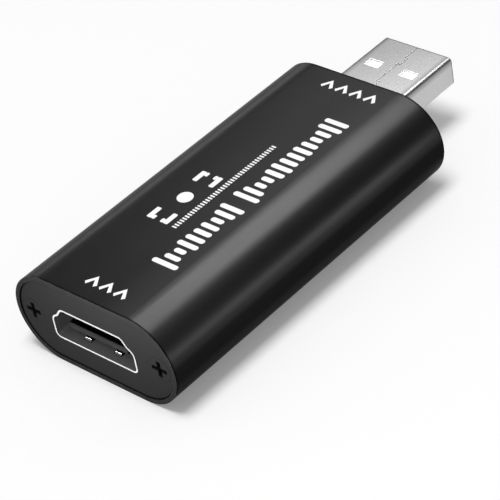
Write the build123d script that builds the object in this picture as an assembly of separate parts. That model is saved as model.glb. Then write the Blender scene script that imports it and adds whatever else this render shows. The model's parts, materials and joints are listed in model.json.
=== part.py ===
from build123d import *
import os

# Sizes are millimetres. The origin is the middle of the housing's underside, +X runs from the video
# socket to the plug, +Y is to the left of that and +Z is up.

# Housing, an extruded tube with a flat top, a flat underside and round sides
housing_length = 55.2
housing_width = 28.5
housing_height = 13.6
housing_wall = 1.2
end_rim_wall = 0.65
channel_wall = 0.77
channel_bite = 0.05
channel_slot = 1.0
rail_lap = 0.7
rail_height = 0.6
rail_gap = 0.05

# End plates, set into the ends of the housing
plate_thickness = 1.0
plate_recess = 0.2
plate_gap = 0.05
plate_edge_chamfer = 0.12
plate_opening_gap = 0.1

# Plate screws, M2 with a flat head and a cross recess
screw_radius = 1.0
screw_length = 6.0
screw_tip_chamfer = 0.3
screw_head_radius = 1.9
screw_head_height = 0.9
screw_hole_gap = 0.15
screw_head_gap = 0.03
screw_thread_gap = 0.03
cross_span = 2.5
cross_arm = 0.6
cross_depth = 0.5

# Video socket shell, wide side down and narrow side against the board
socket_side_offset = 0.3
socket_drop = 0.1
socket_width = 14.1
socket_height = 4.55
socket_shoulder_drop = 1.7
socket_notch_inset = 0.95
socket_notch_drop = 1.15
socket_top_inset = 1.75
socket_floor_radius = 0.5
socket_shoulder_radius = 0.9
socket_notch_radius = 1.2
socket_top_radius = 0.8
socket_sheet = 0.3
socket_length = 11.4
socket_proud = 0.05
socket_lip_flare = 0.1
socket_lip_length = 0.5
socket_leg_length = 1.2
socket_leg_stub = 0.5
socket_leg_shares = (0.2544, 0.7895)

# Contact springs in windows of the socket's floor
spring_spacing = 5.4
spring_width = 1.1
spring_sheet = 0.2
spring_tip_gap = 0.15
spring_bump_rise = 0.35
spring_bump_flat = 0.2
spring_tip_reach = 0.2
spring_reach = 4.4
spring_bend_radius = 0.15
spring_window_gap = 0.15

# Tongue and rear block that hold the socket's contacts
tongue_side_margin = 0.55
tongue_thickness = 0.95
tongue_floor_gap = 1.35
tongue_setback = 0.8
tongue_chamfer = 0.12
socket_block_length = 3.4
socket_block_gap = 0.03
socket_contact_pitch = 1.0
socket_contact_width = 0.3
socket_contact_sheet = 0.2
socket_contact_setback = 1.6
upper_contact_count = 10
lower_contact_count = 9
contact_bend_radius = 0.15
contact_riser_gap = 0.15
contact_foot_length = 0.9

# Plug of the standard type A size, with its contact block in the upper half
plug_width = 12.0
plug_height = 4.5
plug_sheet = 0.3
plug_corner_radius = 0.6
plug_reach = 13.35
plug_shell_length = 20.0
plug_window_setback = 5.2
plug_window_length = 1.8
plug_window_width = 2.5
plug_window_spacing = 6.2
plug_seam_gap = 0.08
plug_seam_key_width = 0.9
plug_seam_key_length = 1.6
plug_seam_key_shares = (0.22, 0.72)
plug_block_height = 1.92
plug_block_drop = 0.625
plug_block_gap = 0.03
plug_block_setback = 0.4
plug_block_rear_length = 4.0
plug_contact_width = 1.0
plug_contact_sheet = 0.2
plug_inner_contact_spacing = 2.0
plug_outer_contact_spacing = 7.0
plug_inner_contact_setback = 2.2
plug_outer_contact_setback = 1.2
plug_tab_length = 1.4
plug_tab_reach = 1.45
plug_tab_drop = 1.7
plug_tab_shares = (0.2427, 0.7476)

# Circuit board
board_side_inset = 3.35
board_thickness = 1.0
board_end_gap = 0.3
board_notch_gap = 0.15
board_hole_gap = 0.1

# Chips on the board's upper side
chip_standoff = 0.1
lead_sheet = 0.15
lead_bend_radius = 0.12
lead_shoulder = 0.4
lead_foot = 0.5
capture_chip_side = 10.0
capture_chip_height = 1.4
capture_chip_place_x = -3.0
capture_lead_count = 16
capture_lead_pitch = 0.5
capture_lead_width = 0.22
memory_chip_length = 4.9
memory_chip_width = 3.9
memory_chip_height = 1.4
memory_chip_setback = 10.45
memory_chip_place_y = 5.0
memory_lead_count = 4
memory_lead_pitch = 1.27
memory_lead_width = 0.4
regulator_length = 6.5
regulator_width = 3.5
regulator_height = 1.5
regulator_setback = 9.45
regulator_place_y = -4.6
regulator_lead_count = 3
regulator_lead_pitch = 2.3
regulator_lead_width = 0.7
regulator_tab_width = 3.0
chip_edge_chamfer = 0.1

# Parts on the board's underside
crystal_length = 11.0
crystal_width = 4.6
crystal_height = 3.5
crystal_flange = 0.4
crystal_flange_height = 0.4
crystal_gap = 2.2
crystal_place_y = 6.6
crystal_lead_spacing = 4.88
crystal_lead_radius = 0.22
crystal_lead_stub = 0.5
inductor_side = 4.0
inductor_height = 1.8
inductor_corner_radius = 0.8
inductor_setback = 8.95
inductor_place_y = -4.5
tank_length = 3.5
tank_width = 2.8
tank_height = 1.9
tank_chamfer = 0.2
tank_setback = 8.95
tank_place_y = 4.5
surge_length = 1.0
surge_width = 2.5
surge_height = 0.5
surge_count = 4
surge_pitch = 3.3
surge_gap = 1.2

# Small capacitors and resistors
passive_length = 1.6
passive_width = 0.8
passive_height = 0.8
resistor_height = 0.45
capacitor_count = 6
capacitor_pitch = 2.2
capacitor_edge_distance = 2.6
resistor_count = 5
resistor_pitch = 1.6
resistor_row_setbacks = (17.55, 14.55)

# How far a cutting shape runs past what it cuts
overrun = 1.0

# Places that follow from the sizes above
housing_end = housing_length / 2
plate_front = housing_end - plate_recess
plate_back = plate_front - plate_thickness
housing_middle_height = housing_height / 2
channel_radius = screw_radius + screw_thread_gap + channel_wall
screw_spacing = housing_width - 2 * (housing_wall + channel_radius - channel_bite)
socket_rim_x = -plate_front - socket_proud
socket_rear_x = socket_rim_x + socket_length
socket_leg_places = [socket_rim_x + socket_length * share for share in socket_leg_shares]
socket_floor_height = housing_middle_height - socket_drop - socket_height / 2
socket_shoulder_height = socket_height - socket_shoulder_drop
socket_notch_height = socket_height - socket_notch_drop
socket_notch_width = socket_width - 2 * socket_notch_inset
socket_top_width = socket_width - 2 * socket_top_inset
board_width = housing_width - 2 * board_side_inset
board_bottom = socket_floor_height + socket_height + socket_sheet
board_top = board_bottom + board_thickness
board_end = plate_back - board_end_gap
tongue_bottom = socket_floor_height + tongue_floor_gap
tongue_top = tongue_bottom + tongue_thickness
tongue_front_x = socket_rim_x + tongue_setback
contact_row_width = (upper_contact_count - 1) * socket_contact_pitch + socket_contact_width
tongue_width = contact_row_width + 2 * tongue_side_margin
socket_riser_x = socket_rear_x + contact_riser_gap + socket_contact_sheet / 2
plug_tip_x = housing_end + plug_reach
plug_rear_x = plug_tip_x - plug_shell_length
plug_block_bottom = board_bottom - plug_block_drop
plug_block_top = plug_block_bottom + plug_block_height
plug_centre_height = plug_block_top + plug_block_gap + plug_sheet - plug_height / 2
plug_tab_places = [plug_rear_x + (board_end - plug_rear_x) * share for share in plug_tab_shares]
spring_middle_height = socket_floor_height - socket_sheet / 2
spring_tip_x = spring_tip_gap - plate_back
spring_bump_x = spring_tip_x + spring_tip_reach + spring_bump_flat / 2
surge_place_x = socket_riser_x + contact_foot_length + surge_gap + surge_length / 2
crystal_place_x = surge_place_x + surge_length / 2 + crystal_gap + crystal_length / 2
crystal_place = (crystal_place_x, crystal_place_y)
memory_chip_place = (plug_rear_x - memory_chip_setback, memory_chip_place_y)
regulator_place = (plug_rear_x - regulator_setback, regulator_place_y)
inductor_place = (plug_rear_x - inductor_setback, inductor_place_y)
tank_place = (plug_rear_x - tank_setback, tank_place_y)
capacitor_row_place = board_width / 2 - capacitor_edge_distance
resistor_row_places = [plug_rear_x - setback for setback in resistor_row_setbacks]


# Shapes that several pieces use

def along_x(outline, start, end):
    """Extrude an outline drawn as (Y, Z) from one X to another."""
    first, last = sorted((start, end))
    return Pos(first, 0, 0) * extrude(Plane.YZ * outline, last - first)


def across_y(outline, middle, width):
    """Extrude an outline drawn as (X, Z) to both sides of a Y."""
    return Pos(0, middle, 0) * extrude(Plane.XZ * outline, width / 2, both=True)


def block(x_range, y_range, z_range):
    """A box between two places on each axis."""
    corner = Pos(min(x_range), min(y_range), min(z_range))
    size = [max(span) - min(span) for span in (x_range, y_range, z_range)]
    return corner * Box(*size, align=(Align.MIN, Align.MIN, Align.MIN))


def around(middle, width):
    """The two ends of a width about its middle."""
    return (middle - width / 2, middle + width / 2)


def spread(count, pitch):
    """Evenly spaced places about zero."""
    return [(index - (count - 1) / 2) * pitch for index in range(count)]


def group(pieces, place=Pos(0, 0, 0)):
    """Separate solids that share one node, each moved to the place."""
    return Compound(children=[place * piece for piece in pieces])


def bent_strip(points, bend_radius, sheet):
    """The edge view of a strip of sheet that is bent along points."""
    return trace(FilletPolyline(*points, radius=bend_radius), sheet)


def tube_outline(inset):
    """The housing's section, drawn in by an inset."""
    section = SlotOverall(housing_width - 2 * inset, housing_height - 2 * inset)
    return Pos(0, housing_middle_height) * section


def socket_outline(margin):
    """The socket's opening, wide side down, grown by a margin."""
    corners = [
        (socket_width / 2, 0, socket_floor_radius),
        (socket_width / 2, socket_shoulder_height, socket_shoulder_radius),
        (socket_notch_width / 2, socket_notch_height, socket_notch_radius),
        (socket_top_width / 2, socket_height, socket_top_radius),
    ]
    mirrored = [(-across, up, radius) for across, up, radius in reversed(corners)]
    outline = corners + mirrored
    points = [(across, up) for across, up, radius in outline]
    radii = [radius for across, up, radius in outline]
    opening = make_face(FilletPolyline(*points, radius=radii, close=True))
    grown = offset(opening, margin) if margin else opening
    return Pos(socket_side_offset, socket_floor_height) * grown


def plug_outline(margin):
    """The plug shell's outer section, grown by a margin."""
    section = RectangleRounded(
        plug_width + 2 * margin, plug_height + 2 * margin, plug_corner_radius + margin
    )
    return Pos(0, plug_centre_height) * section


# Housing

def rail_section(side):
    """Two ribs that hold one edge of the board between them."""
    inner_edge = side * (board_width / 2 - rail_lap)
    outer_edge = side * housing_width / 2
    middle = (inner_edge + outer_edge) / 2
    rib_width = abs(outer_edge - inner_edge)
    lower_middle = board_bottom - rail_gap - rail_height / 2
    upper_middle = board_top + rail_gap + rail_height / 2
    rib = Rectangle(rib_width, rail_height)
    return Pos(middle, lower_middle) * rib + Pos(middle, upper_middle) * rib


def housing_tube():
    ribs = Sketch()
    bores = Sketch()
    for side in (-1, 1):
        channel_place = Pos(side * screw_spacing / 2, housing_middle_height)
        ribs += channel_place * Circle(channel_radius) + rail_section(side)
        bores += channel_place * Circle(screw_radius + screw_thread_gap)
        slot_place = channel_place * Pos(-side * (channel_radius + overrun) / 2, 0)
        bores += slot_place * Rectangle(channel_radius + overrun, channel_slot)
    wall = tube_outline(0) - tube_outline(housing_wall)
    section = wall + (ribs & tube_outline(housing_wall / 2)) - bores
    tube = along_x(section, -housing_end, housing_end)
    for side in (-1, 1):
        seat = along_x(tube_outline(end_rim_wall), side * plate_back, side * (housing_end + overrun))
        tube -= seat
    return tube


# End plates and their screws

def screw_cutter(side, across):
    """The countersunk hole that a plate has for one screw."""
    hole = Pos(across, housing_middle_height) * Circle(screw_radius + screw_hole_gap)
    hole_cut = along_x(hole, side * (plate_back - overrun), side * (plate_front + overrun))
    sink = Cone(
        screw_head_radius + screw_head_gap, screw_radius + screw_head_gap, screw_head_height,
        align=(Align.CENTER, Align.CENTER, Align.MIN),
    )
    inward = Rot(0, -side * 90, 0)
    return hole_cut + Pos(side * plate_front, across, housing_middle_height) * inward * sink


def end_plate(side, opening):
    """A plate with its connector's opening, its two screw holes and a broken front edge."""
    plate = along_x(tube_outline(end_rim_wall + plate_gap), side * plate_back, side * plate_front)
    front_face = plate.faces().sort_by(Axis.X)[0 if side < 0 else -1]
    plate = chamfer(front_face.edges(), plate_edge_chamfer)
    plate -= along_x(opening, side * (plate_back - overrun), side * (plate_front + overrun))
    for across in (-screw_spacing / 2, screw_spacing / 2):
        plate -= screw_cutter(side, across)
    return plate


def plate_screw():
    """One screw with the top of its head at zero, pointing along +X."""
    head = Cone(
        screw_head_radius, screw_radius, screw_head_height, align=(Align.CENTER, Align.CENTER, Align.MIN)
    )
    shank = Cylinder(screw_radius, screw_length, align=(Align.CENTER, Align.CENTER, Align.MIN))
    tip_edge = shank.edges().sort_by(Axis.Z)[-1]
    screw = chamfer(tip_edge, screw_tip_chamfer) + head
    for turn in (0, 90):
        arm = Box(cross_span, cross_arm, cross_depth, align=(Align.CENTER, Align.CENTER, Align.MIN))
        screw -= Rot(0, 0, turn) * arm
    return Rot(0, 90, 0) * screw


def plate_screws(side):
    """Both screws of one plate."""
    facing = Rot(0, 0, 0 if side < 0 else 180)
    places = [
        Pos(side * plate_front, across, housing_middle_height)
        for across in (-screw_spacing / 2, screw_spacing / 2)
    ]
    return group([place * facing * plate_screw() for place in places])


# Video socket

def spring_places():
    return [socket_side_offset + place for place in spread(2, spring_spacing)]


def socket_shell():
    """The folded shell with its flared lip, four legs and the windows for the springs."""
    outer = along_x(socket_outline(socket_sheet), socket_rim_x, socket_rear_x)
    lip_end_x = socket_rim_x + socket_lip_length
    outer += along_x(socket_outline(socket_sheet + socket_lip_flare), socket_rim_x, lip_end_x)
    for place in socket_leg_places:
        leg_x = around(place, socket_leg_length)
        for side in (-1, 1):
            inner_y = socket_side_offset + side * socket_width / 2
            outer_y = inner_y + side * socket_sheet
            leg_z = (socket_floor_height + socket_floor_radius, board_top + socket_leg_stub)
            outer += block(leg_x, (inner_y, outer_y), leg_z)
    shell = outer - along_x(socket_outline(0), socket_rim_x - overrun, socket_rear_x + overrun)
    shell -= along_x(socket_outline(socket_lip_flare), socket_rim_x - overrun, lip_end_x)
    window_x = (spring_tip_x - spring_window_gap, spring_bump_x + spring_reach + spring_window_gap)
    window_z = (socket_floor_height - socket_sheet - overrun, socket_floor_height + socket_sheet)
    for place in spring_places():
        window_y = around(place, spring_width + 2 * spring_window_gap)
        shell -= block(window_x, window_y, window_z)
    return shell


def socket_spring(place):
    """A spring that rises from its root to a bump near the mouth and dips again at its tip."""
    bump_height = spring_middle_height + spring_bump_rise
    points = [
        (spring_bump_x + spring_reach, spring_middle_height),
        (spring_bump_x + spring_bump_flat / 2, bump_height),
        (spring_bump_x - spring_bump_flat / 2, bump_height),
        (spring_tip_x, spring_middle_height),
    ]
    return across_y(bent_strip(points, spring_bend_radius, spring_sheet), place, spring_width)


def contact_row(count, height, setback):
    """Contacts that run back along the tongue, rise behind the shell and end in feet on the board."""
    foot_height = board_bottom - socket_contact_sheet / 2
    points = [
        (tongue_front_x + setback, height),
        (socket_riser_x, height),
        (socket_riser_x, foot_height),
        (socket_riser_x + contact_foot_length, foot_height),
    ]
    strip = bent_strip(points, contact_bend_radius, socket_contact_sheet)
    places = [socket_side_offset + place for place in spread(count, socket_contact_pitch)]
    return [across_y(strip, place, socket_contact_width) for place in places]


def upper_contacts():
    height = tongue_top - socket_contact_sheet / 2
    return contact_row(upper_contact_count, height, socket_contact_setback)


def lower_contacts():
    height = tongue_bottom + socket_contact_sheet / 2
    return contact_row(lower_contact_count, height, socket_contact_setback)


def socket_insulator():
    """The tongue and the rear block, with a groove for each contact."""
    block_front_x = socket_rear_x - socket_block_length
    insulator = along_x(socket_outline(-socket_block_gap), block_front_x, socket_rear_x)
    tongue = block(
        (tongue_front_x, block_front_x + overrun),
        around(socket_side_offset, tongue_width),
        (tongue_bottom, tongue_top),
    )
    front_face = tongue.faces().sort_by(Axis.X)[0]
    insulator += chamfer(front_face.edges(), tongue_chamfer)
    for contact in upper_contacts() + lower_contacts():
        insulator -= contact
    return insulator


# Plug

def seam_cutter():
    """The seam where the plug's rolled sheet meets, with two dovetail keys."""
    half_key = plug_seam_key_width / 2
    flare = half_key / 2
    points = [(plug_rear_x - overrun, 0)]
    for share in plug_seam_key_shares:
        near, far = around(housing_end + plug_reach * share, plug_seam_key_length)
        points += [(near, 0), (near - flare, -half_key), (far + flare, -half_key), (far, 0)]
    points.append((plug_tip_x + overrun, 0))
    seam = trace(Polyline(*points), plug_seam_gap)
    return Pos(0, 0, plug_centre_height) * extrude(seam, plug_height / 2 + overrun)


def plug_tab(x_middle, side):
    """A tab that lies on the board beside the plug and turns down through it."""
    flange_height = board_top + plug_sheet / 2
    start_y = plug_width / 2 - plug_sheet / 2
    leg_y = plug_width / 2 + plug_tab_reach
    points = [
        (side * start_y, flange_height),
        (side * leg_y, flange_height),
        (side * leg_y, flange_height - plug_tab_drop),
    ]
    strip = bent_strip(points, plug_sheet, plug_sheet)
    return along_x(strip, x_middle - plug_tab_length / 2, x_middle + plug_tab_length / 2)


def plug_shell():
    """The plug's rolled shell with windows above and below, a seam and four tabs."""
    shell = along_x(plug_outline(0), plug_rear_x, plug_tip_x)
    shell -= along_x(plug_outline(-plug_sheet), plug_rear_x - overrun, plug_tip_x + overrun)
    window_end_x = plug_tip_x - plug_window_setback
    window_x = (window_end_x - plug_window_length, window_end_x)
    window_z = around(plug_centre_height, plug_height + 2 * overrun)
    for place in spread(2, plug_window_spacing):
        shell -= block(window_x, around(place, plug_window_width), window_z)
    shell -= seam_cutter()
    for place in plug_tab_places:
        for side in (-1, 1):
            shell += plug_tab(place, side)
    return shell


def plug_contacts():
    """Two long outer contacts and two short inner ones, with feet under the board."""
    contact_height = plug_block_bottom + plug_contact_sheet / 2
    foot_height = board_bottom - plug_contact_sheet / 2
    riser_x = plug_rear_x - contact_riser_gap - plug_contact_sheet / 2
    rows = [
        (plug_inner_contact_spacing, plug_inner_contact_setback),
        (plug_outer_contact_spacing, plug_outer_contact_setback),
    ]
    contacts = []
    for spacing, setback in rows:
        points = [
            (plug_tip_x - plug_block_setback - setback, contact_height),
            (riser_x, contact_height),
            (riser_x, foot_height),
            (riser_x - contact_foot_length, foot_height),
        ]
        strip = bent_strip(points, contact_bend_radius, plug_contact_sheet)
        contacts += [across_y(strip, place, plug_contact_width) for place in spread(2, spacing)]
    return contacts


def plug_insulator():
    """The block that carries the contacts on its underside, with a full rear end."""
    outline = plug_outline(-plug_sheet - plug_block_gap)
    section_z = (plug_block_bottom, plug_block_top)
    limit = block((plug_rear_x, plug_tip_x), around(0, plug_width), section_z)
    insulator = along_x(outline, plug_rear_x, plug_tip_x - plug_block_setback) & limit
    insulator += along_x(outline, plug_rear_x, plug_rear_x + plug_block_rear_length)
    for contact in plug_contacts():
        insulator -= contact
    return insulator


# Circuit board and what it carries

def main_board():
    board = block((-board_end, board_end), around(0, board_width), (board_bottom, board_top))
    cut_z = (board_bottom - overrun, board_top + overrun)
    notch_x = (plug_rear_x - board_notch_gap, board_end + overrun)
    board -= block(notch_x, around(0, plug_width + 2 * board_notch_gap), cut_z)
    for side in (-1, 1):
        socket_leg_y = socket_side_offset + side * (socket_width + socket_sheet) / 2
        for place in socket_leg_places:
            hole_x = around(place, socket_leg_length + 2 * board_hole_gap)
            board -= block(hole_x, around(socket_leg_y, socket_sheet + 2 * board_hole_gap), cut_z)
        plug_leg_y = side * (plug_width / 2 + plug_tab_reach)
        for place in plug_tab_places:
            hole_x = around(place, plug_tab_length + 2 * board_hole_gap)
            board -= block(hole_x, around(plug_leg_y, plug_sheet + 2 * board_hole_gap), cut_z)
    for place in crystal_lead_places():
        hole = Cylinder(crystal_lead_radius + board_hole_gap, board_thickness + 2 * overrun)
        board -= Pos(*place, board_bottom + board_thickness / 2) * hole
    return board


def on_top(place):
    """Where a part stands on the board's upper side."""
    return Pos(*place, board_top)


def underneath(place):
    """Where a part hangs from the board's underside."""
    return Pos(*place, board_bottom) * Rot(180, 0, 0)


def chip_body(length, width, height):
    """A moulded package with its edges broken, standing a little off the board."""
    body = Box(length, width, height, align=(Align.CENTER, Align.CENTER, Align.MIN))
    top_edges = body.faces().sort_by(Axis.Z)[-1].edges()
    return Pos(0, 0, chip_standoff) * chamfer(top_edges, chip_edge_chamfer)


def lead_row(body_width, body_height, count, pitch, width, turn):
    """Bent leads down one side of a package, turned about it in degrees."""
    start = body_width / 2
    lead_height = chip_standoff + body_height / 2
    points = [
        (start, lead_height),
        (start + lead_shoulder, lead_height),
        (start + lead_shoulder, lead_sheet / 2),
        (start + lead_shoulder + lead_foot, lead_sheet / 2),
    ]
    strip = bent_strip(points, lead_bend_radius, lead_sheet)
    return [Rot(0, 0, turn) * across_y(strip, place, width) for place in spread(count, pitch)]


def capture_chip_leads():
    leads = []
    for turn in (0, 90, 180, 270):
        leads += lead_row(
            capture_chip_side, capture_chip_height, capture_lead_count, capture_lead_pitch,
            capture_lead_width, turn,
        )
    return group(leads, on_top((capture_chip_place_x, 0)))


def memory_chip_leads():
    leads = []
    for turn in (90, 270):
        leads += lead_row(
            memory_chip_width, memory_chip_height, memory_lead_count, memory_lead_pitch,
            memory_lead_width, turn,
        )
    return group(leads, on_top(memory_chip_place))


def regulator_leads():
    leads = lead_row(
        regulator_width, regulator_height, regulator_lead_count, regulator_lead_pitch,
        regulator_lead_width, 270,
    )
    leads += lead_row(regulator_width, regulator_height, 1, 0, regulator_tab_width, 90)
    return group(leads, on_top(regulator_place))


def crystal_can():
    flange = extrude(SlotOverall(crystal_length, crystal_width), crystal_flange_height)
    can_outline = SlotOverall(crystal_length - 2 * crystal_flange, crystal_width - 2 * crystal_flange)
    return underneath(crystal_place) * (flange + extrude(can_outline, crystal_height))


def crystal_lead_places():
    middle_x, middle_y = crystal_place
    return [(middle_x + place, middle_y) for place in spread(2, crystal_lead_spacing)]


def crystal_leads():
    lead = Cylinder(
        crystal_lead_radius, board_thickness + crystal_lead_stub,
        align=(Align.CENTER, Align.CENTER, Align.MIN),
    )
    return group([Pos(*place, board_bottom) * lead for place in crystal_lead_places()])


def power_inductor():
    section = RectangleRounded(inductor_side, inductor_side, inductor_corner_radius)
    return underneath(inductor_place) * extrude(section, inductor_height)


def tank_capacitor():
    body = Box(tank_length, tank_width, tank_height, align=(Align.CENTER, Align.CENTER, Align.MIN))
    outer_edges = body.faces().sort_by(Axis.Z)[-1].edges()
    return underneath(tank_place) * chamfer(outer_edges, tank_chamfer)


def surge_arrays():
    body = Box(surge_length, surge_width, surge_height, align=(Align.CENTER, Align.CENTER, Align.MIN))
    places = [underneath((surge_place_x, across)) for across in spread(surge_count, surge_pitch)]
    return group([place * body for place in places])


def ceramic_capacitors():
    body = Box(
        passive_width, passive_length, passive_height, align=(Align.CENTER, Align.CENTER, Align.MIN)
    )
    capacitors = []
    for row_y in (-capacitor_row_place, capacitor_row_place):
        for place in spread(capacitor_count, capacitor_pitch):
            capacitors.append(on_top((capture_chip_place_x + place, row_y)) * body)
    return group(capacitors)


def resistors():
    body = Box(
        passive_length, passive_width, resistor_height, align=(Align.CENTER, Align.CENTER, Align.MIN)
    )
    pieces = []
    for row_x in resistor_row_places:
        for place in spread(resistor_count, resistor_pitch):
            pieces.append(underneath((row_x, place)) * body)
    return group(pieces)


def build_pieces():
    """Every piece under its node's name."""
    right_spring, left_spring = spring_places()
    return {
        "housing_tube": housing_tube(),
        "input_end_plate": end_plate(-1, socket_outline(socket_sheet + socket_lip_flare + plate_opening_gap)),
        "output_end_plate": end_plate(1, plug_outline(plate_opening_gap)),
        "input_plate_screws": plate_screws(-1),
        "output_plate_screws": plate_screws(1),
        "video_socket_shell": socket_shell(),
        "socket_spring_right": socket_spring(right_spring),
        "socket_spring_left": socket_spring(left_spring),
        "video_socket_insulator": socket_insulator(),
        "video_socket_contacts_upper": group(upper_contacts()),
        "video_socket_contacts_lower": group(lower_contacts()),
        "usb_plug_shell": plug_shell(),
        "usb_plug_insulator": plug_insulator(),
        "usb_plug_contacts": group(plug_contacts()),
        "main_board": main_board(),
        "capture_chip": on_top((capture_chip_place_x, 0))
        * chip_body(capture_chip_side, capture_chip_side, capture_chip_height),
        "capture_chip_leads": capture_chip_leads(),
        "memory_chip": on_top(memory_chip_place)
        * chip_body(memory_chip_length, memory_chip_width, memory_chip_height),
        "memory_chip_leads": memory_chip_leads(),
        "voltage_regulator": on_top(regulator_place)
        * chip_body(regulator_length, regulator_width, regulator_height),
        "voltage_regulator_leads": regulator_leads(),
        "crystal_can": crystal_can(),
        "crystal_leads": crystal_leads(),
        "power_inductor": power_inductor(),
        "tank_capacitor": tank_capacitor(),
        "surge_arrays": surge_arrays(),
        "ceramic_capacitors": ceramic_capacitors(),
        "resistors": resistors(),
    }


os.makedirs("parts", exist_ok=True)
for node, piece in build_pieces().items():
    export_step(piece, f"parts/{node}.step")
    print(node, "solids", len(piece.solids()))
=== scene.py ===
import json
from math import cos, pi, radians, sin, sqrt

import bmesh
import bpy
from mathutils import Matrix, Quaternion, Vector


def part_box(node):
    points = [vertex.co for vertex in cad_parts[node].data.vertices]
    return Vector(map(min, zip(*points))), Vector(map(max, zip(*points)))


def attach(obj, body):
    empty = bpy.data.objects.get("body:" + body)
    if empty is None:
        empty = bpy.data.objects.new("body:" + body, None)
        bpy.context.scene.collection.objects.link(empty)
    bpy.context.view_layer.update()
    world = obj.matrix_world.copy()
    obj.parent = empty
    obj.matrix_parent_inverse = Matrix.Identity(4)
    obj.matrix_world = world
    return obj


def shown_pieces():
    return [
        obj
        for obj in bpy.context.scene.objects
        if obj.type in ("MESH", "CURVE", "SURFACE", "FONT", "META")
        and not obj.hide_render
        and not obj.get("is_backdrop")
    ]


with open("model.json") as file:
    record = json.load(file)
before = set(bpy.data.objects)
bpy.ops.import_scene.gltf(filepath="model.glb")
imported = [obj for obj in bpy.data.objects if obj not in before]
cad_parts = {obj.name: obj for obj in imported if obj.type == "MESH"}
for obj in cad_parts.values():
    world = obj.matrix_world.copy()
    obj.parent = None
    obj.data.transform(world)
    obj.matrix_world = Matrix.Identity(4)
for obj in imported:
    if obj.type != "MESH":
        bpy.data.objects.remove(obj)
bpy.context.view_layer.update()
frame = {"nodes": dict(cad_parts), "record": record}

# Sizes are metres, written as millimetres times mm. +X runs from the video socket to the plug, +Y is to
# the left of that and +Z is up. The floor is at zero height.
mm = 0.001

# Camera, by the point it looks at, its distance, its angles in degrees, and its lens and sensor in plain
# millimetres
camera_target = Vector((1.26, -0.49, 1.62)) * mm
camera_distance = 297.95 * mm
camera_azimuth = -42.396
camera_elevation = 37.393
camera_roll = -10.949
camera_lens = 158.316
camera_sensor = 36.0
camera_near = 10 * mm
camera_far = 20000 * mm

# Lamps, each a soft box: the point it faces, its direction from there, its distance, its width and height,
# its brightness, where 1 is white, how far its light spreads in degrees, and what it lights
middle_aim = Vector((0, 0, 6)) * mm
input_end_aim = Vector((-27, -6.3, 23.3)) * mm
spring_aim = Vector((-25, -2, 5)) * mm
plug_aim = Vector((35, 0, 10)) * mm
right_side_aim = Vector((0, -14, 3)) * mm
lamps = {
    "floor_lamp": {
        "aim": middle_aim, "toward": (-0.12, -0.04, 0.99), "distance": 900 * mm,
        "size": (330 * mm, 330 * mm), "brightness": 15.6, "spread": 180, "lights": "floor",
    },
    "top_lamp": {
        "aim": middle_aim, "toward": (-0.28, 0.05, 0.95), "distance": 900 * mm,
        "size": (450 * mm, 450 * mm), "brightness": 11.5, "spread": 180, "lights": "object",
    },
    "band_lamp": {
        "aim": middle_aim, "toward": (0.536, 0.015, 0.845), "distance": 600 * mm,
        "size": (450 * mm, 140 * mm), "brightness": 27.0, "spread": 180, "lights": "housing",
    },
    "edge_lamp": {
        "aim": middle_aim, "toward": (0.536, 0.05, 0.845), "distance": 600 * mm,
        "size": (400 * mm, 140 * mm), "brightness": 12.5, "spread": 180, "lights": "plug",
    },
    "back_lamp": {
        "aim": middle_aim, "toward": (0.75, 0.45, 0.55), "distance": 900 * mm,
        "size": (480 * mm, 420 * mm), "brightness": 3.3, "spread": 180, "lights": "housing",
    },
    "plug_lamp": {
        "aim": plug_aim, "toward": (0.47, 0.50, 0.66), "distance": 90 * mm,
        "size": (66 * mm, 56 * mm), "brightness": 0.77, "spread": 180, "lights": "plug",
    },
    "rim_lamp": {
        "aim": middle_aim, "toward": (0.505, 0.82, 0.15), "distance": 700 * mm,
        "size": (240 * mm, 110 * mm), "brightness": 11.0, "spread": 180, "lights": "housing",
    },
    "strip_lamp": {
        "aim": right_side_aim, "toward": (0.42, -0.90, 0.06), "distance": 90 * mm,
        "size": (80 * mm, 16 * mm), "brightness": 7.0, "spread": 180, "lights": "housing",
    },
    "front_lamp": {
        "aim": input_end_aim, "toward": (-0.81, -0.41, 0.42), "distance": 44 * mm,
        "size": (29 * mm, 12 * mm), "brightness": 11.4, "spread": 59, "lights": "input_end",
    },
    "spring_lamp": {
        "aim": spring_aim, "toward": (-0.56, 0.587, 0.58), "distance": 80 * mm,
        "size": (30 * mm, 6 * mm), "brightness": 60.0, "spread": 180, "lights": "springs",
    },
}

# The nodes behind each name for what a lamp lights, apart from the floor and the whole object
lit_nodes = {
    "housing": ["housing_tube"],
    "plug": ["usb_plug_shell", "usb_plug_insulator", "usb_plug_contacts"],
    "input_end": [
        "housing_tube", "input_end_plate", "input_plate_screws", "video_socket_shell",
        "video_socket_insulator",
    ],
    "springs": ["socket_spring_right", "socket_spring_left"],
}

# Floor and the room round it: its tones, its glow, and the heights between which the room's tone changes
floor_size = 3000 * mm
floor_tones = (0.86, 0.90)
floor_cloud_count = 6
floor_roughness = 1.0
floor_glow = 0.19
room_low_tone = 0.85
room_high_tone = 0.28
room_band_low = 0.02
room_band_high = 0.20

# What several of the finishes below share. A finish has two tones or colours that it varies between, from
# 0 to 1, two roughnesses, a count of clouds, grains or lines in a metre, how deep these are in its surface
# and how strongly they show, and the radius of its edges.
black_tone = 0.0
near_black_tone = 0.003
usual_cloud_count = 260
usual_texture_count = 2400
usual_bump = 0.3
usual_edge_radius = 0.05 * mm
fine_edge_radius = 0.03 * mm

# How many rays feel out a rounded edge at each point
bevel_rays = 6

# A noise: the stretch of its values that a finish varies over, and how many finer layers it has
noise_range = (0.3, 0.7)
few_layers = 2
usual_layers = 3
more_layers = 4
most_layers = 5

# How much longer lines are than wide, on each axis
along = (60, 1, 1)
all_ways = (1, 1, 1)

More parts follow.
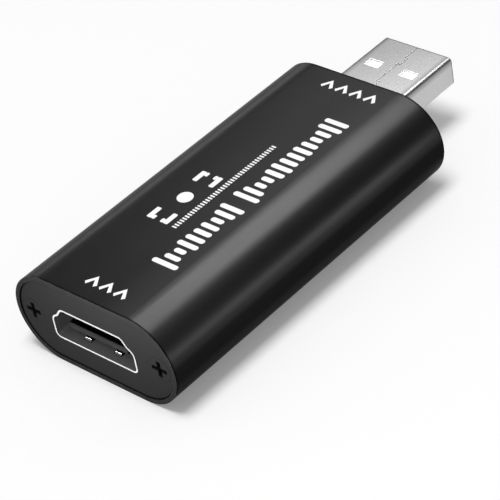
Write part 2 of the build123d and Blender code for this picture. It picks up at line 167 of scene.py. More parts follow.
# A sharp edge, by how alike its flat and its rounded surface directions are where it starts and is full
sharp_alike = (0.995, 0.93)
worn_alike = (0.985, 0.80)

# Housing: anodised black, with a blasted grain, drawing lines and places that are rubbed paler. The
# grazing tone is how bright its reflections are where it is seen nearly edge on.
housing_tones = (0.0145, 0.0175)
housing_roughness = (0.28, 0.35)
housing_texture_range = (0.05, 0.5)
housing_metal_share = 0.7
housing_grazing_tone = 0.52
housing_cloud_count = 110
housing_grain_count = 5200
housing_grain_depth = 0.004 * mm
housing_grain_bump = 0.15
housing_line_count = 2600
housing_line_depth = 0.003 * mm
housing_line_bump = 0.1
housing_edge_radius = 0.06 * mm
rubbed_count = 900
rubbed_range = (0.42, 0.62)
rubbed_share = 0.3
worn_edge_radius = 0.10 * mm
worn_tone = 0.16

# The housing's slight crown, which starts this far from its middle line
crown_start = 1.5 * mm
crown_run = 5.95 * mm
crown_drop = 0.18 * mm

# Painted shade: darker bands along each side of the housing, by the heights where each starts, is full
# from, is full to and ends, and how dark it is
painted_shade_side_bands = [
    (4.6 * mm, 5.8 * mm, 7.7 * mm, 8.4 * mm, 0.6),
    (10.2 * mm, 10.9 * mm, 11.5 * mm, 12.1 * mm, 0.28),
]

# Painted shade: a deeper tone on the housing's top towards the input end, which fades out towards its right
# side
top_shade_low = 13.1 * mm
top_shade_high = 13.5 * mm
top_shade_start_x = -4.0 * mm
top_shade_end_x = -27.6 * mm
top_shade_start_y = -7.0 * mm
top_shade_end_y = -2.0 * mm
top_shade_share = 0.32

# The housing's dark end edges and its sawn ends
end_edge_width = 0.20 * mm
end_edge_fade = 0.12 * mm
sawn_depth = 0.02 * mm
sawn_tone = 0.0245

# End plates and screws: matt black lacquer, with a dark seam round a plate. A screw's hollow is painted
# black as shade over its fade, and its edge gets painted shade over its width within a reach of the screw's
# middle.
lacquer_tones = (0.021, 0.025)
lacquer_roughness = (0.50, 0.62)
lacquer_cloud_count = 160
lacquer_grain_count = 3600
lacquer_depth = 0.005 * mm
seam_width = 0.01 * mm
seam_fade = 0.04 * mm
hollow_shade_fade = 0.12 * mm
hollow_edge_shade = 0.16 * mm
hollow_shade_reach = 1.4 * mm

# Plug: satin plated sheet. The cut edges in its top are painted bright as light, but grey where its seam
# crosses them. They are full from this depth, end this far down and this far short of the tip, and lie
# inside this inset.
plug_tones = (0.58, 0.62)
plug_roughness = (0.272, 0.278)
plug_cloud_count = 120
plug_grain_count = 2400
plug_edge_radius = 0.10 * mm
plug_half_width = 6.0 * mm
cut_edge_painted_light = 0.95
cut_edge_depth = 0.04 * mm
cut_edge_end = 0.5 * mm
cut_edge_inset = 1.0 * mm
plug_seam_tone = 0.30
plug_seam_reach = 1.2 * mm

# Painted shade along the plug's bends, by the ways down and inward from its edge added up, and its dark tip
bend_shade_start = 0.3 * mm
bend_shade_end = 1.3 * mm
bend_shade_amount = 0.56
tip_dark_start = 0.12 * mm
tip_dark_end = 0.18 * mm
tip_dark_share = 0.7

# The plug's top has painted shade that grows towards its tip and its left side, by its place along times a
# share plus its place across. Its sides are evenly darker.
plug_shade_along_share = 0.7
plug_shade_start = 15.0 * mm
plug_shade_end = 30.0 * mm
plug_shade_amount = 0.32
plug_side_dark_amount = 0.12

# Video socket: a bright lip round an inside painted dull and dark as shade, and a black tongue whose front
# end has painted light. The lip's edge is how far in its rolled edges are painted dull as shade, and its
# depth is how far back it is bright. The facing values say how far a surface faces +X where its front
# begins and is full, and they are negative since the front faces the other way.
lip_tones = (0.91, 0.97)
lip_roughness = 0.45
lip_shade_edge = 0.10 * mm
lip_depth = 0.02 * mm
lip_facing = (-0.6, -0.8)
socket_shade_tones = (0.028, 0.036)
socket_roughness = 0.6
socket_cloud_count = 420
socket_grain_count = 2600
socket_grain_depth = 0.004 * mm
tongue_tones = (0.0004, 0.0008)
tongue_front_light_tones = (0.025, 0.035)
tongue_facing = (-0.4, -0.9)
tongue_roughness = (0.7, 0.85)

# Bare and plated metals, with drawing lines or an even cloud
metal_cloud_count = 420
metal_line_count = 3000
metal_line_depth = 0.002 * mm
spring_finish = {"low": 0.20, "high": 0.24, "roughness": (0.19, 0.21), "stretch": all_ways}
metal_finishes = {
    "gold_contact": {
        "low": (0.83, 0.60, 0.24), "high": (0.90, 0.68, 0.32), "roughness": (0.2, 0.32),
        "stretch": along,
    },
    "tinned_lead": {
        "low": (0.62, 0.62, 0.61), "high": (0.74, 0.74, 0.73), "roughness": (0.3, 0.42),
        "stretch": all_ways,
    },
    "can_steel": {"low": 0.60, "high": 0.70, "roughness": (0.28, 0.38), "stretch": all_ways},
}

# Moulded plastics, resins and ceramics
moulded_depth = 0.006 * mm
moulded_finishes = {
    "black_plastic": {
        "low": 0.003, "high": 0.005, "roughness": (0.75, 0.9), "texture_count": usual_texture_count,
    },
    "white_plastic": {
        "low": (0.80, 0.80, 0.79), "high": (0.86, 0.86, 0.85), "roughness": (0.38, 0.5),
        "texture_count": usual_texture_count,
    },
    "chip_black": {
        "low": (0.022, 0.022, 0.023), "high": (0.034, 0.034, 0.034), "roughness": (0.5, 0.65),
        "texture_count": 5200,
    },
    "ferrite": {
        "low": (0.05, 0.05, 0.055), "high": (0.09, 0.09, 0.095), "roughness": (0.55, 0.7),
        "texture_count": 4200,
    },
    "yellow_body": {
        "low": (0.62, 0.36, 0.04), "high": (0.75, 0.46, 0.06), "roughness": (0.42, 0.55),
        "texture_count": usual_texture_count,
    },
    "tan_ceramic": {
        "low": (0.38, 0.27, 0.16), "high": (0.48, 0.36, 0.22), "roughness": (0.4, 0.55),
        "texture_count": usual_texture_count,
    },
    "resistor_black": {
        "low": (0.02, 0.02, 0.022), "high": (0.045, 0.045, 0.05), "roughness": (0.35, 0.5),
        "texture_count": usual_texture_count,
    },
}

# Circuit board: green mask over a net of copper tracks
mask_low = (0.012, 0.085, 0.035)
mask_high = (0.02, 0.12, 0.05)
mask_cloud_count = 300
mask_roughness = (0.25, 0.38)
mask_grain_count = 1800
track_colour = (0.03, 0.2, 0.08)
track_count = 420.0
track_share = 0.03
track_depth = 0.03 * mm
track_bump = 0.5

# White printed marks on the housing's top, from the middle of the housing
ink_tones = (0.90, 0.96)
ink_roughness = (0.42, 0.58)
ink_cloud_count = 700
ink_grain_count = 6000
ink_grain_depth = 0.003 * mm
ink_grain_bump = 0.4
ink_thickness = 0.012 * mm
corner_steps = 5
chevron_stroke = 0.56 * mm
chevron_length = 1.95 * mm
chevron_width = 2.1 * mm
chevron_pitch = 2.5 * mm
input_chevron_count = 3
input_chevron_x = -25.2 * mm
input_chevron_y = -1.1 * mm
output_chevron_count = 4
output_chevron_x = 23.7 * mm
output_chevron_y = -1.1 * mm
frame_mark_x = (-10.8 * mm, 0.5 * mm)
frame_mark_y = (1.1 * mm, 4.8 * mm)
frame_mark_stroke = 0.8 * mm
frame_mark_radius = frame_mark_stroke / 4
frame_mark_arm = 2.3 * mm
frame_mark_side_arm = 1.35 * mm
frame_dot_radius = 1.15 * mm
frame_dot_steps = 40
scale_mark_x = (-10.8 * mm, 9.5 * mm)
scale_mark_y = (-0.54 * mm, 0.23 * mm)
scale_tick_width = 0.26 * mm
scale_tick_radius = scale_tick_width / 4
scale_tick_count = 41
wave_bar_width = 0.85 * mm
wave_bar_radius = wave_bar_width / 2.2
wave_bar_pitch = 1.45 * mm
wave_bar_count_left = 10
wave_bar_count_right = 14
wave_left_x = -17.4 * mm
wave_right_x = -1.5 * mm
wave_middle_y = -4.3 * mm
wave_tall = 4.3 * mm
wave_short = 1.5 * mm
wave_turns = 2.6

# Angles in degrees
quarter_turn = 90
full_turn = 360


# Node helpers

def new_material(name):
    """A material with its node tree and its shader."""
    material = bpy.data.materials.new(name)
    material.use_nodes = True
    tree = material.node_tree
    return material, tree, tree.nodes["Principled BSDF"]


def add(tree, kind, inputs=None, **settings):
    """Add a node; an input is a plain value or another node's output."""
    node = tree.nodes.new("ShaderNode" + kind)
    for name, value in settings.items():
        setattr(node, name, value)
    for name, value in (inputs or {}).items():
        if isinstance(value, bpy.types.NodeSocket):
            tree.links.new(value, node.inputs[name])
        else:
            node.inputs[name].default_value = value
    return node


def compute(tree, operation, first, second=0.0, **settings):
    """One step of arithmetic on one or two values."""
    return add(tree, "Math", {0: first, 1: second}, operation=operation, **settings).outputs[0]


def multiply(tree, first, second):
    """Two values multiplied."""
    return compute(tree, "MULTIPLY", first, second)


def ramp(tree, value, start, end, low=0.0, high=1.0):
    """The value's stretch from start to end, mapped to low and high."""
    return add(tree, "MapRange", {0: value, 1: start, 2: end, 3: low, 4: high}).outputs[0]


def grey(tone):
    """The colour of a tone from 0 to 1."""
    return (tone, tone, tone, 1)


def mix(tree, share, first, second):
    """A colour between two, each a tone from 0 to 1, a colour or another node's output."""
    node = add(tree, "Mix", data_type="RGBA")
    tree.links.new(share, node.inputs[0])
    for index, colour in ((6, first), (7, second)):
        if isinstance(colour, bpy.types.NodeSocket):
            tree.links.new(colour, node.inputs[index])
        elif isinstance(colour, tuple):
            node.inputs[index].default_value = (*colour, 1)
        else:
            node.inputs[index].default_value = grey(colour)
    return node.outputs[2]


def object_point(tree):
    """A point's place on the object."""
    return add(tree, "TexCoord").outputs["Object"]


def object_place(tree):
    """The three coordinates of a point on the object, each an output."""
    return add(tree, "SeparateXYZ", {0: object_point(tree)}).outputs


def surface_direction(tree):
    """The direction that a surface faces."""
    return add(tree, "NewGeometry").outputs["Normal"]


def front_share(tree, start, end):
    """How much a surface belongs to the front, from 0 to 1, by how far it faces +X."""
    facing = add(tree, "SeparateXYZ", {0: surface_direction(tree)}).outputs["X"]
    return ramp(tree, facing, start, end)


def alikeness(tree, first, second):
    """How alike two directions are: their dot product."""
    return add(tree, "VectorMath", {0: first, 1: second}, operation="DOT_PRODUCT").outputs["Value"]


def grain(tree, count, layers=usual_layers, stretch=all_ways):
    """A noise from 0 to 1 with a count of features in a metre, which are stretched on each axis."""
    scale = [1 / factor for factor in stretch]
    squeezed = add(tree, "Mapping", {"Vector": object_point(tree), "Scale": scale}).outputs[0]
    return add(tree, "TexNoise", {"Vector": squeezed, "Scale": count, "Detail": layers}).outputs[0]


def varied(tree, noise, low, high):
    """A value between low and high that follows a noise."""
    return ramp(tree, noise, *noise_range, low, high)


def rounded_normal(tree, radius):
    """The surface's normal with its edges rounded over a radius."""
    return add(tree, "Bevel", {"Radius": radius}, samples=bevel_rays).outputs[0]


def edge_share(tree, radius, start, end):
    """How far a point lies on a sharp edge, from 0 to 1."""
    return ramp(tree, alikeness(tree, rounded_normal(tree, radius), surface_direction(tree)), start, end)


def bump(tree, height, depth, normal, strength=1.0):
    """The normal with a relief added, which is this deep where its height is 1."""
    inputs = {"Height": height, "Distance": depth, "Normal": normal, "Strength": strength}
    return add(tree, "Bump", inputs).outputs[0]


def set_surface(tree, shader, colour, roughness=None, normal=None, metallic=None):
    """Lead a material's values to its shader."""
    values = {"Base Color": colour, "Roughness": roughness, "Normal": normal, "Metallic": metallic}
    for name, value in values.items():
        if value is not None:
            tree.links.new(value, shader.inputs[name])


# Housing

def crown_height(tree):
    """The housing's crown at a point: it curves down along its run and goes on straight after it."""
    from_middle = compute(tree, "ABSOLUTE", object_place(tree)["Y"])
    past_start = compute(tree, "MAXIMUM", compute(tree, "SUBTRACT", from_middle, crown_start))
    share = compute(tree, "DIVIDE", past_start, crown_run)
    curved = compute(tree, "MINIMUM", share, 1.0)
    straight = multiply(tree, compute(tree, "SUBTRACT", curved, share), 2.0)
    return compute(tree, "SUBTRACT", straight, multiply(tree, curved, curved))


def paint_side_band_shade(tree, colour):
    """The colour with painted shade in darker bands along the housing's sides."""
    height = object_place(tree)["Z"]
    for low, full_low, full_high, high, share in painted_shade_side_bands:
        below = ramp(tree, height, high, full_high)
        above = ramp(tree, height, low, full_low, 0.0, share)
        colour = mix(tree, multiply(tree, below, above), colour, near_black_tone)
    return colour


def paint_top_shade(tree, colour):
    """The colour with painted shade on the housing's top near the input end."""
    place = object_place(tree)
    on_top = ramp(tree, place["Z"], top_shade_low, top_shade_high)
    to_left = ramp(tree, place["Y"], top_shade_start_y, top_shade_end_y)
    to_input = ramp(tree, place["X"], top_shade_start_x, top_shade_end_x, 0.0, top_shade_share)
    deep = multiply(tree, multiply(tree, on_top, to_left), to_input)
    return mix(tree, deep, colour, near_black_tone)


def end_edge_share(tree, from_middle):
    """How far a point lies on the outer edge of an end of the housing, from 0 to 1."""
    far_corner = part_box("housing_tube")[1]
    start = far_corner.x - end_edge_width - end_edge_fade
    near_end = ramp(tree, from_middle, start, far_corner.x - end_edge_width)
    to_axis = (0, 0, -far_corner.z / 2)
    from_axis = add(tree, "VectorMath", {0: object_point(tree), 1: to_axis}).outputs[0]
    outward = alikeness(tree, from_axis, surface_direction(tree))
    return multiply(tree, near_end, compute(tree, "GREATER_THAN", outward, 0.0))


def anodised_black():
    """Black anodised aluminium with a blasted grain, faint drawing lines, edges worn a little paler, and
    painted shade on its sides and top.
    """
    material, tree, shader = new_material("housing_black")
    fine = grain(tree, housing_grain_count, layers=few_layers)
    lines = grain(tree, housing_line_count, stretch=along)
    colour = mix(tree, grain(tree, housing_cloud_count, layers=more_layers), *housing_tones)
    # Painted shade: darker bands along the sides, and a deeper top towards the input end.
    colour = paint_top_shade(tree, paint_side_band_shade(tree, colour))
    from_middle = compute(tree, "ABSOLUTE", object_place(tree)["X"])
    colour = mix(tree, end_edge_share(tree, from_middle), colour, near_black_tone)
    end_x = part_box("housing_tube")[1].x
    sawn = ramp(tree, from_middle, end_x - sawn_depth, end_x - sawn_depth / 2)
    colour = mix(tree, sawn, colour, sawn_tone)
    rubbed = ramp(tree, grain(tree, rubbed_count), *rubbed_range, 0, rubbed_share)
    worn = multiply(tree, edge_share(tree, worn_edge_radius, *worn_alike), rubbed)
    normal = bump(tree, crown_height(tree), crown_drop, rounded_normal(tree, housing_edge_radius))
    normal = bump(tree, fine, housing_grain_depth, normal, housing_grain_bump)
    set_surface(
        tree, shader, mix(tree, worn, colour, worn_tone),
        ramp(tree, multiply(tree, fine, lines), *housing_texture_range, *housing_roughness),
        bump(tree, lines, housing_line_depth, normal, housing_line_bump),
        ramp(tree, sawn, 0, 1, housing_metal_share, 0),
    )
    shader.inputs["Specular IOR Level"].default_value = 0.0
    shader.inputs["Specular Tint"].default_value = grey(housing_grazing_tone)
    return material


# End plates and screws

def end_radius(node):
    """The radius of a node's round ends: half its height."""
    low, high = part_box(node)
    return (high.z - low.z) / 2


def round_end_reach(tree, node, flat_middle):
    """How far a point lies from the middles of a node's round ends, or from the line between them."""
    low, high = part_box(node)
    radius = end_radius(node)
    place = object_place(tree)
    across = compute(tree, "SUBTRACT", compute(tree, "ABSOLUTE", place["Y"]), high.y - radius)
    if flat_middle:
        across = compute(tree, "MAXIMUM", across)
    up = compute(tree, "SUBTRACT", place["Z"], low.z + radius)
    squares = compute(tree, "ADD", multiply(tree, across, across), multiply(tree, up, up))
    return compute(tree, "SQRT", squares)


def plate_seam(tree):
    """How far a point of an end plate lies in the seam round it, from 0 to 1."""
    reach = round_end_reach(tree, "input_end_plate", flat_middle=True)
    radius = end_radius("input_end_plate")
    return ramp(tree, reach, radius - seam_width - seam_fade, radius - seam_width)


def screw_hollow_shade(tree):
    """How far a point of a screw lies in its hollow or on the hollow's edge, painted black as shade, from 0
    to 1.
    """
    head = -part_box("input_plate_screws")[0].x
    from_middle = compute(tree, "ABSOLUTE", object_place(tree)["X"])
    hollow = ramp(tree, from_middle, head, head - hollow_shade_fade)
    reach = round_end_reach(tree, "input_plate_screws", flat_middle=False)
    near = compute(tree, "LESS_THAN", reach, hollow_shade_reach)
    edge = multiply(tree, near, edge_share(tree, hollow_edge_shade, *sharp_alike))
    return compute(tree, "MAXIMUM", hollow, edge)


def matt_black(name, seam_and_shade_share):
    """Matt black lacquer with a fine orange peel, which is darker by a share from 0 to 1: the plates' dark
    seam and the screws' painted shade.
    """
    material, tree, shader = new_material(name)
    fine = grain(tree, lacquer_grain_count)
    colour = mix(tree, grain(tree, lacquer_cloud_count, layers=more_layers), *lacquer_tones)
    set_surface(
        tree, shader, mix(tree, seam_and_shade_share(tree), colour, near_black_tone),
        varied(tree, fine, *lacquer_roughness),
        bump(tree, fine, lacquer_depth, rounded_normal(tree, usual_edge_radius), usual_bump),
    )
    shader.inputs["Specular IOR Level"].default_value = 0.0
    return material


# Plug

def plug_cut_share(tree, place):
    """How far a point lies on a cut edge in the plug's top, from 0 to 1."""
    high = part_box("usb_plug_shell")[1]
    from_middle = compute(tree, "ABSOLUTE", place["Y"])
    below_top = ramp(tree, place["Z"], high.z, high.z - cut_edge_depth)
    above_sheet = compute(tree, "GREATER_THAN", place["Z"], high.z - cut_edge_end)
    inboard = compute(tree, "LESS_THAN", from_middle, plug_half_width - cut_edge_inset)
    before_tip = compute(tree, "LESS_THAN", place["X"], high.x - cut_edge_end)
    return multiply(tree, multiply(tree, below_top, above_sheet), multiply(tree, inboard, before_tip))


def plug_top_shade_and_dark_sides(tree, place):
    """How dark the plug is at a point, from 0 to 1: painted shade on its top by place, and its sides evenly
    darker.
    """
    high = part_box("usb_plug_shell")[1]
    along_and_across = compute(tree, "ADD", multiply(tree, place["X"], plug_shade_along_share), place["Y"])
    painted_shade = ramp(tree, along_and_across, plug_shade_start, plug_shade_end, 0.0, plug_shade_amount)
    under = compute(tree, "LESS_THAN", place["Z"], high.z - cut_edge_depth)
    return compute(tree, "MAXIMUM", painted_shade, multiply(tree, under, plug_side_dark_amount))


def plug_bend_shade_and_dark_tip(tree, place):
    """How dark the plug is, from 0 to 1: painted shade along its bends, and darker at its tip."""
    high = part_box("usb_plug_shell")[1]
    down = compute(tree, "SUBTRACT", high.z, place["Z"])
    inward = compute(tree, "SUBTRACT", plug_half_width, compute(tree, "ABSOLUTE", place["Y"]))
    from_edge = compute(tree, "ADD", down, inward)
    bend = ramp(tree, from_edge, bend_shade_start, bend_shade_end, bend_shade_amount, 0.0)
    tip = ramp(tree, place["X"], high.x - tip_dark_end, high.x - tip_dark_start, 0.0, tip_dark_share)
    return compute(tree, "MAXIMUM", bend, tip)


def plug_metal():
    """Satin plated sheet with painted shade on its top and bends, darker sides and tip, and painted light
    on its cut edges.
    """
    material, tree, shader = new_material("plug_steel")
    place = object_place(tree)
    colour = mix(tree, grain(tree, plug_cloud_count), *plug_tones)
    # Painted shade on the top by place and along the bends, with darker sides and tip.
    colour = mix(tree, plug_top_shade_and_dark_sides(tree, place), colour, black_tone)
    colour = mix(tree, plug_bend_shade_and_dark_tip(tree, place), colour, black_tone)
    # Painted light on the cut edges in the top, grey where the seam crosses them.
    at_seam = compute(tree, "LESS_THAN", compute(tree, "ABSOLUTE", place["Y"]), plug_seam_reach)
    cut_edge_light_colour = mix(tree, at_seam, cut_edge_painted_light, plug_seam_tone)
    fine = grain(tree, plug_grain_count, layers=few_layers)
    set_surface(
        tree, shader, mix(tree, plug_cut_share(tree, place), colour, cut_edge_light_colour),
        varied(tree, fine, *plug_roughness), rounded_normal(tree, plug_edge_radius),
    )
    shader.inputs["Metallic"].default_value = 1.0
    return material


# Video socket

def socket_metal():
    """Bright plated lip round a socket whose inside and the lip's rolled edges are painted dull and dark as
    shade.
    """
    material, tree, shader = new_material("socket_steel")
    lip_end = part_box("video_socket_shell")[0].x + lip_depth
    at_rim = compute(tree, "LESS_THAN", object_place(tree)["X"], lip_end)
    # Painted shade: the lip's rolled edges and the socket's inside are dull and dark.
    off_edge_shade = compute(tree, "SUBTRACT", 1.0, edge_share(tree, lip_shade_edge, *sharp_alike))
    lip = multiply(tree, multiply(tree, front_share(tree, *lip_facing), at_rim), off_edge_shade)
    cloud = grain(tree, socket_cloud_count, layers=most_layers)
    painted_shade = mix(tree, cloud, *socket_shade_tones)
    bright = mix(tree, cloud, *lip_tones)
    fine = grain(tree, socket_grain_count)
    set_surface(
        tree, shader, mix(tree, lip, painted_shade, bright),
        ramp(tree, lip, 0, 1, socket_roughness, lip_roughness),
        bump(tree, fine, socket_grain_depth, rounded_normal(tree, fine_edge_radius), usual_bump),
        lip,
    )
    shader.inputs["Specular IOR Level"].default_value = 0.0
    return material


def tongue_black():
    """Black moulded tongue with painted light on its front end, which is paler."""
    material, tree, shader = new_material("tongue_black")
    cloud = grain(tree, usual_cloud_count, layers=more_layers)
    black = mix(tree, cloud, *tongue_tones)
    # Painted light: the front end, which faces the lamps, is paler.
    painted_front_light = mix(tree, cloud, *tongue_front_light_tones)
    texture = grain(tree, usual_texture_count)
    set_surface(
        tree, shader, mix(tree, front_share(tree, *tongue_facing), black, painted_front_light),
        varied(tree, texture, *tongue_roughness),
        bump(tree, texture, moulded_depth, rounded_normal(tree, fine_edge_radius), usual_bump),
    )
    shader.inputs["Specular IOR Level"].default_value = 0.0
    return material


# Other materials

def metal(name, low, high, roughness, stretch):
    """Bare or plated metal with fine drawing lines and a cloudy tone."""
    material, tree, shader = new_material(name)
    lines = grain(tree, metal_line_count, layers=more_layers, stretch=stretch)
    set_surface(
        tree, shader, mix(tree, grain(tree, metal_cloud_count, layers=most_layers), low, high),
        varied(tree, lines, *roughness),
        bump(tree, lines, metal_line_depth, rounded_normal(tree, usual_edge_radius), usual_bump),
    )
    shader.inputs["Metallic"].default_value = 1.0
    return material


def moulded(name, low, high, roughness, texture_count):
    """Moulded plastic, resin or ceramic with a faint texture and soft edges."""
    material, tree, shader = new_material(name)
    texture = grain(tree, texture_count)
    set_surface(
        tree, shader, mix(tree, grain(tree, usual_cloud_count, layers=more_layers), low, high),
        varied(tree, texture, *roughness),
        bump(tree, texture, moulded_depth, rounded_normal(tree, usual_edge_radius), usual_bump),
    )
    return material


def solder_mask():
    """Green solder mask over copper tracks that show as paler lines."""
    material, tree, shader = new_material("green_board")
    inputs = {"Vector": object_point(tree), "Scale": track_count, "Mortar Size": track_share}
    tracks = add(tree, "TexBrick", inputs).outputs["Fac"]
    mask = mix(tree, grain(tree, mask_cloud_count), mask_low, mask_high)
    set_surface(
        tree, shader, mix(tree, tracks, mask, track_colour),
        varied(tree, grain(tree, mask_grain_count), *mask_roughness),
        bump(tree, tracks, track_depth, rounded_normal(tree, usual_edge_radius), track_bump),
    )
    return material


def white_ink():
    """Thick white ink with a slightly uneven surface."""
    material, tree, shader = new_material("white_ink")
    texture = grain(tree, ink_grain_count)
    set_surface(
        tree, shader, mix(tree, grain(tree, ink_cloud_count, layers=more_layers), *ink_tones),
        varied(tree, texture, *ink_roughness),
        bump(tree, texture, ink_grain_depth, surface_direction(tree), ink_grain_bump),
    )
    return material


def seen_share(tree, strength):
    """The strength for rays from the camera, in reflections and through glass, and zero for the rest."""
    path = add(tree, "LightPath").outputs
    seen = compute(tree, "ADD", path["Is Camera Ray"], path["Is Glossy Ray"])
    seen = compute(tree, "ADD", seen, path["Is Transmission Ray"], use_clamp=True)
    return multiply(tree, seen, strength)


def floor_material():
    """Pale floor that glows a little to the camera and in reflections, so that it reads as white."""
    material, tree, shader = new_material("floor")
    set_surface(tree, shader, mix(tree, grain(tree, floor_cloud_count, layers=few_layers), *floor_tones))
    shader.inputs["Roughness"].default_value = floor_roughness
    shader.inputs["Specular IOR Level"].default_value = 0.0
    shader.inputs["Emission Color"].default_value = (1, 1, 1, 1)
    tree.links.new(seen_share(tree, floor_glow), shader.inputs["Emission Strength"])
    return material


def dress_nodes():
    """Give every CAD node the material of its slot, or its own where it has one."""
    slots = {
        "black_anodised": anodised_black(),
        # The screws' hollows are painted black as shade.
        "black_screw": matt_black("screw_black", screw_hollow_shade),
        "socket_steel": socket_metal(),
        "plug_steel": plug_metal(),
        "green_board": solder_mask(),
    }
    slots |= {name: metal(name, **facts) for name, facts in metal_finishes.items()}
    slots |= {name: moulded(name, **facts) for name, facts in moulded_finishes.items()}
    own = {"video_socket_insulator": tongue_black()}
    own |= dict.fromkeys(("input_end_plate", "output_end_plate"), matt_black("plate_black", plate_seam))
    own |= dict.fromkeys(lit_nodes["springs"], metal("spring_steel", **spring_finish))
    for part in frame["record"]["subparts"]:
        materials = frame["nodes"][part["node"]].data.materials
        materials.clear()
        materials.append(own.get(part["node"], slots[part["material_slot"]]))


# Printed marks

def arc(centre, radius, start, end, steps):
    """Points on an arc, its angles in degrees."""
    turns = [radians(start + (end - start) * step / steps) for step in range(steps + 1)]
    return [(centre[0] + radius * cos(turn), centre[1] + radius * sin(turn)) for turn in turns]


def rounded_bar(x_range, y_range, radius):
    """The outline of a bar with round corners."""
    (left, right), (low, high) = x_range, y_range
    centres = [
        (right - radius, high - radius), (left + radius, high - radius),
        (left + radius, low + radius), (right - radius, low + radius),
    ]
    outline = []
    for corner, centre in enumerate(centres):
        start = corner * quarter_turn
        outline += arc(centre, radius, start, start + quarter_turn, corner_steps)
    return outline


def chevron(tip_x, middle_y):
    """The outline of an arrow head that points along +X and ends at the tip."""
    half = chevron_width / 2
    back = tip_x - chevron_length
    lean = chevron_stroke * sqrt(2)
    notch_x = tip_x - lean
    arm_x = back + lean / 2
    return [
        (tip_x, middle_y), (arm_x, middle_y + half), (back, middle_y + half - lean / 2),
        (notch_x, middle_y), (back, middle_y - half + lean / 2), (arm_x, middle_y - half),
    ]


def chevron_row(count, back_x, middle_y):
    """A row of arrow heads side by side, from where their backs are."""
    tip_x = back_x + chevron_length
    steps = [index - (count - 1) / 2 for index in range(count)]
    return [chevron(tip_x, middle_y + step * chevron_pitch) for step in steps]


def viewfinder():
    """Four corner brackets round a dot."""
    outlines = []
    for edge_x, inward_x in zip(frame_mark_x, (1, -1)):
        for edge_y, inward_y in zip(frame_mark_y, (1, -1)):
            arm_x = sorted((edge_x, edge_x + inward_x * frame_mark_arm))
            stroke_y = sorted((edge_y, edge_y + inward_y * frame_mark_stroke))
            stroke_x = sorted((edge_x, edge_x + inward_x * frame_mark_stroke))
            start_y = edge_y + inward_y * frame_mark_stroke
            arm_y = sorted((start_y, edge_y + inward_y * frame_mark_side_arm))
            outlines.append(rounded_bar(arm_x, stroke_y, frame_mark_radius))
            outlines.append(rounded_bar(stroke_x, arm_y, frame_mark_radius))
    middle = (sum(frame_mark_x) / 2, sum(frame_mark_y) / 2)
    last_turn = full_turn - full_turn / frame_dot_steps
    outlines.append(arc(middle, frame_dot_radius, 0, last_turn, frame_dot_steps - 1))
    return outlines


def tick_scale():
    """A fine row of ticks."""
    pitch = (scale_mark_x[1] - scale_mark_x[0] - scale_tick_width) / (scale_tick_count - 1)
    outlines = []
    for index in range(scale_tick_count):
        start = scale_mark_x[0] + index * pitch
        outlines.append(rounded_bar((start, start + scale_tick_width), scale_mark_y, scale_tick_radius))
    return outlines


def wave_bars(start_x, count):
    """Bars whose heights swell and fall like a sound level."""
    outlines = []
    for index in range(count):
        share = 0.5 + 0.5 * cos(2 * pi * wave_turns * index / (count - 1)) * cos(pi * index / count)
        height = wave_short + (wave_tall - wave_short) * share
        left = start_x + index * wave_bar_pitch
        sides = (wave_middle_y - height / 2, wave_middle_y + height / 2)
        outlines.append(rounded_bar((left, left + wave_bar_width), sides, wave_bar_radius))
    return outlines


def print_mark(name, outlines, ink):
    """One printed piece: each outline stands proud of the housing's top by the ink's thickness."""
    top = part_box("housing_tube")[1].z
    shape = bmesh.new()
    for outline in outlines:
        corners = [shape.verts.new((across, up, top)) for across, up in outline]
        face = shape.faces.new(corners)
        raised = bmesh.ops.extrude_face_region(shape, geom=[face])["geom"]
        lifted = [item for item in raised if isinstance(item, bmesh.types.BMVert)]
        bmesh.ops.translate(shape, verts=lifted, vec=(0, 0, ink_thickness))
    bmesh.ops.recalc_face_normals(shape, faces=shape.faces)
    mesh = bpy.data.meshes.new(name)
    shape.to_mesh(mesh)
    shape.free()
    piece = bpy.data.objects.new(name, mesh)
    bpy.context.scene.collection.objects.link(piece)
    mesh.materials.append(ink)
    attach(piece, "capture_box")


def print_marks():
    """Every printed piece on the housing's top, by its name."""
    marks = {
        "mark_input": chevron_row(input_chevron_count, input_chevron_x, input_chevron_y),
        "mark_output": chevron_row(output_chevron_count, output_chevron_x, output_chevron_y),
        "mark_viewfinder": viewfinder(),
        "mark_scale": tick_scale(),
        "mark_level_left": wave_bars(wave_left_x, wave_bar_count_left),
        "mark_level_right": wave_bars(wave_right_x, wave_bar_count_right),
    }
    ink = white_ink()
    for name, outlines in marks.items():
        print_mark(name, outlines, ink)


# Floor, room, lamps and camera

def add_floor():
    """The floor that the object stands on, which isn't part of it."""
    bpy.ops.mesh.primitive_plane_add(size=floor_size)
    floor = bpy.context.object
    floor.name = "floor"
    floor.data.materials.append(floor_material())
    floor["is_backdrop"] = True
    return floor


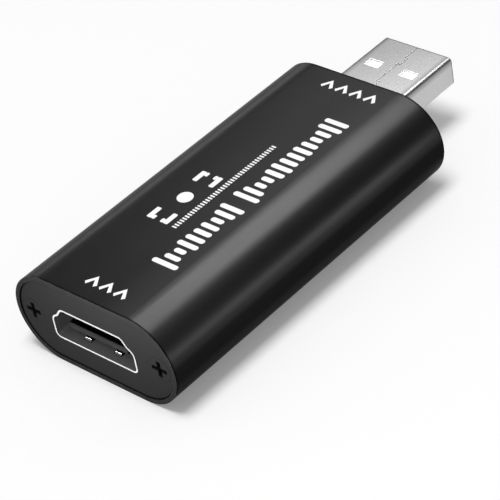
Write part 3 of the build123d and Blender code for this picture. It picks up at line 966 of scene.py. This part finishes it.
def add_room():
    """A room that is pale near the horizon and dim higher up."""
    world = bpy.data.worlds.new("room")
    world.use_nodes = True
    bpy.context.scene.world = world
    tree = world.node_tree
    direction = add(tree, "TexCoord").outputs["Generated"]
    height = add(tree, "SeparateXYZ", {0: direction}).outputs["Z"]
    tone = ramp(tree, height, room_band_low, room_band_high, room_low_tone, room_high_tone)
    tree.links.new(tone, tree.nodes["Background"].inputs["Color"])


def gather(name, objects):
    """A collection that says what a lamp lights."""
    lit = bpy.data.collections.new(name)
    for piece in objects:
        lit.objects.link(piece)
    return lit


def gather_lit(floor):
    """The collections that the lamps' table names."""
    lit = {"floor": gather("floor", [floor]), "object": gather("object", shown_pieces())}
    for name, nodes in lit_nodes.items():
        lit[name] = gather(name, [frame["nodes"][node] for node in nodes])
    return lit


def add_lamp(lit, name, aim, toward, distance, size, brightness, spread, lights):
    """A soft box that faces a point; the brightness is what a mirror would show."""
    data = bpy.data.lights.new(name, "AREA")
    data.shape = "RECTANGLE"
    data.size, data.size_y = size
    data.spread = radians(spread)
    data.energy = brightness * pi * size[0] * size[1]
    lamp = bpy.data.objects.new(name, data)
    bpy.context.scene.collection.objects.link(lamp)
    lamp.location = aim + Vector(toward).normalized() * distance
    lamp.rotation_euler = (aim - lamp.location).to_track_quat("-Z", "Y").to_euler()
    lamp.visible_camera = False
    lamp.light_linking.receiver_collection = lit[lights]


def add_lamps(floor):
    """Every lamp of the table, with the collections that they light."""
    lit = gather_lit(floor)
    for name, facts in lamps.items():
        add_lamp(lit, name, **facts)


def add_camera():
    """The camera, by its angles round the point that it looks at."""
    azimuth, elevation = radians(camera_azimuth), radians(camera_elevation)
    back = Vector((sin(azimuth) * cos(elevation), -cos(azimuth) * cos(elevation), sin(elevation)))
    data = bpy.data.cameras.new("camera")
    data.lens = camera_lens
    data.sensor_width = camera_sensor
    data.clip_start, data.clip_end = camera_near, camera_far
    camera = bpy.data.objects.new("camera", data)
    bpy.context.scene.collection.objects.link(camera)
    camera.location = camera_target + back * camera_distance
    roll = Quaternion((0, 0, 1), radians(camera_roll))
    camera.rotation_euler = ((-back).to_track_quat("-Z", "Y") @ roll).to_euler()
    bpy.context.scene.camera = camera


dress_nodes()
print_marks()
add_lamps(add_floor())
add_room()
add_camera()
bpy.context.scene.view_settings.view_transform = "Standard"
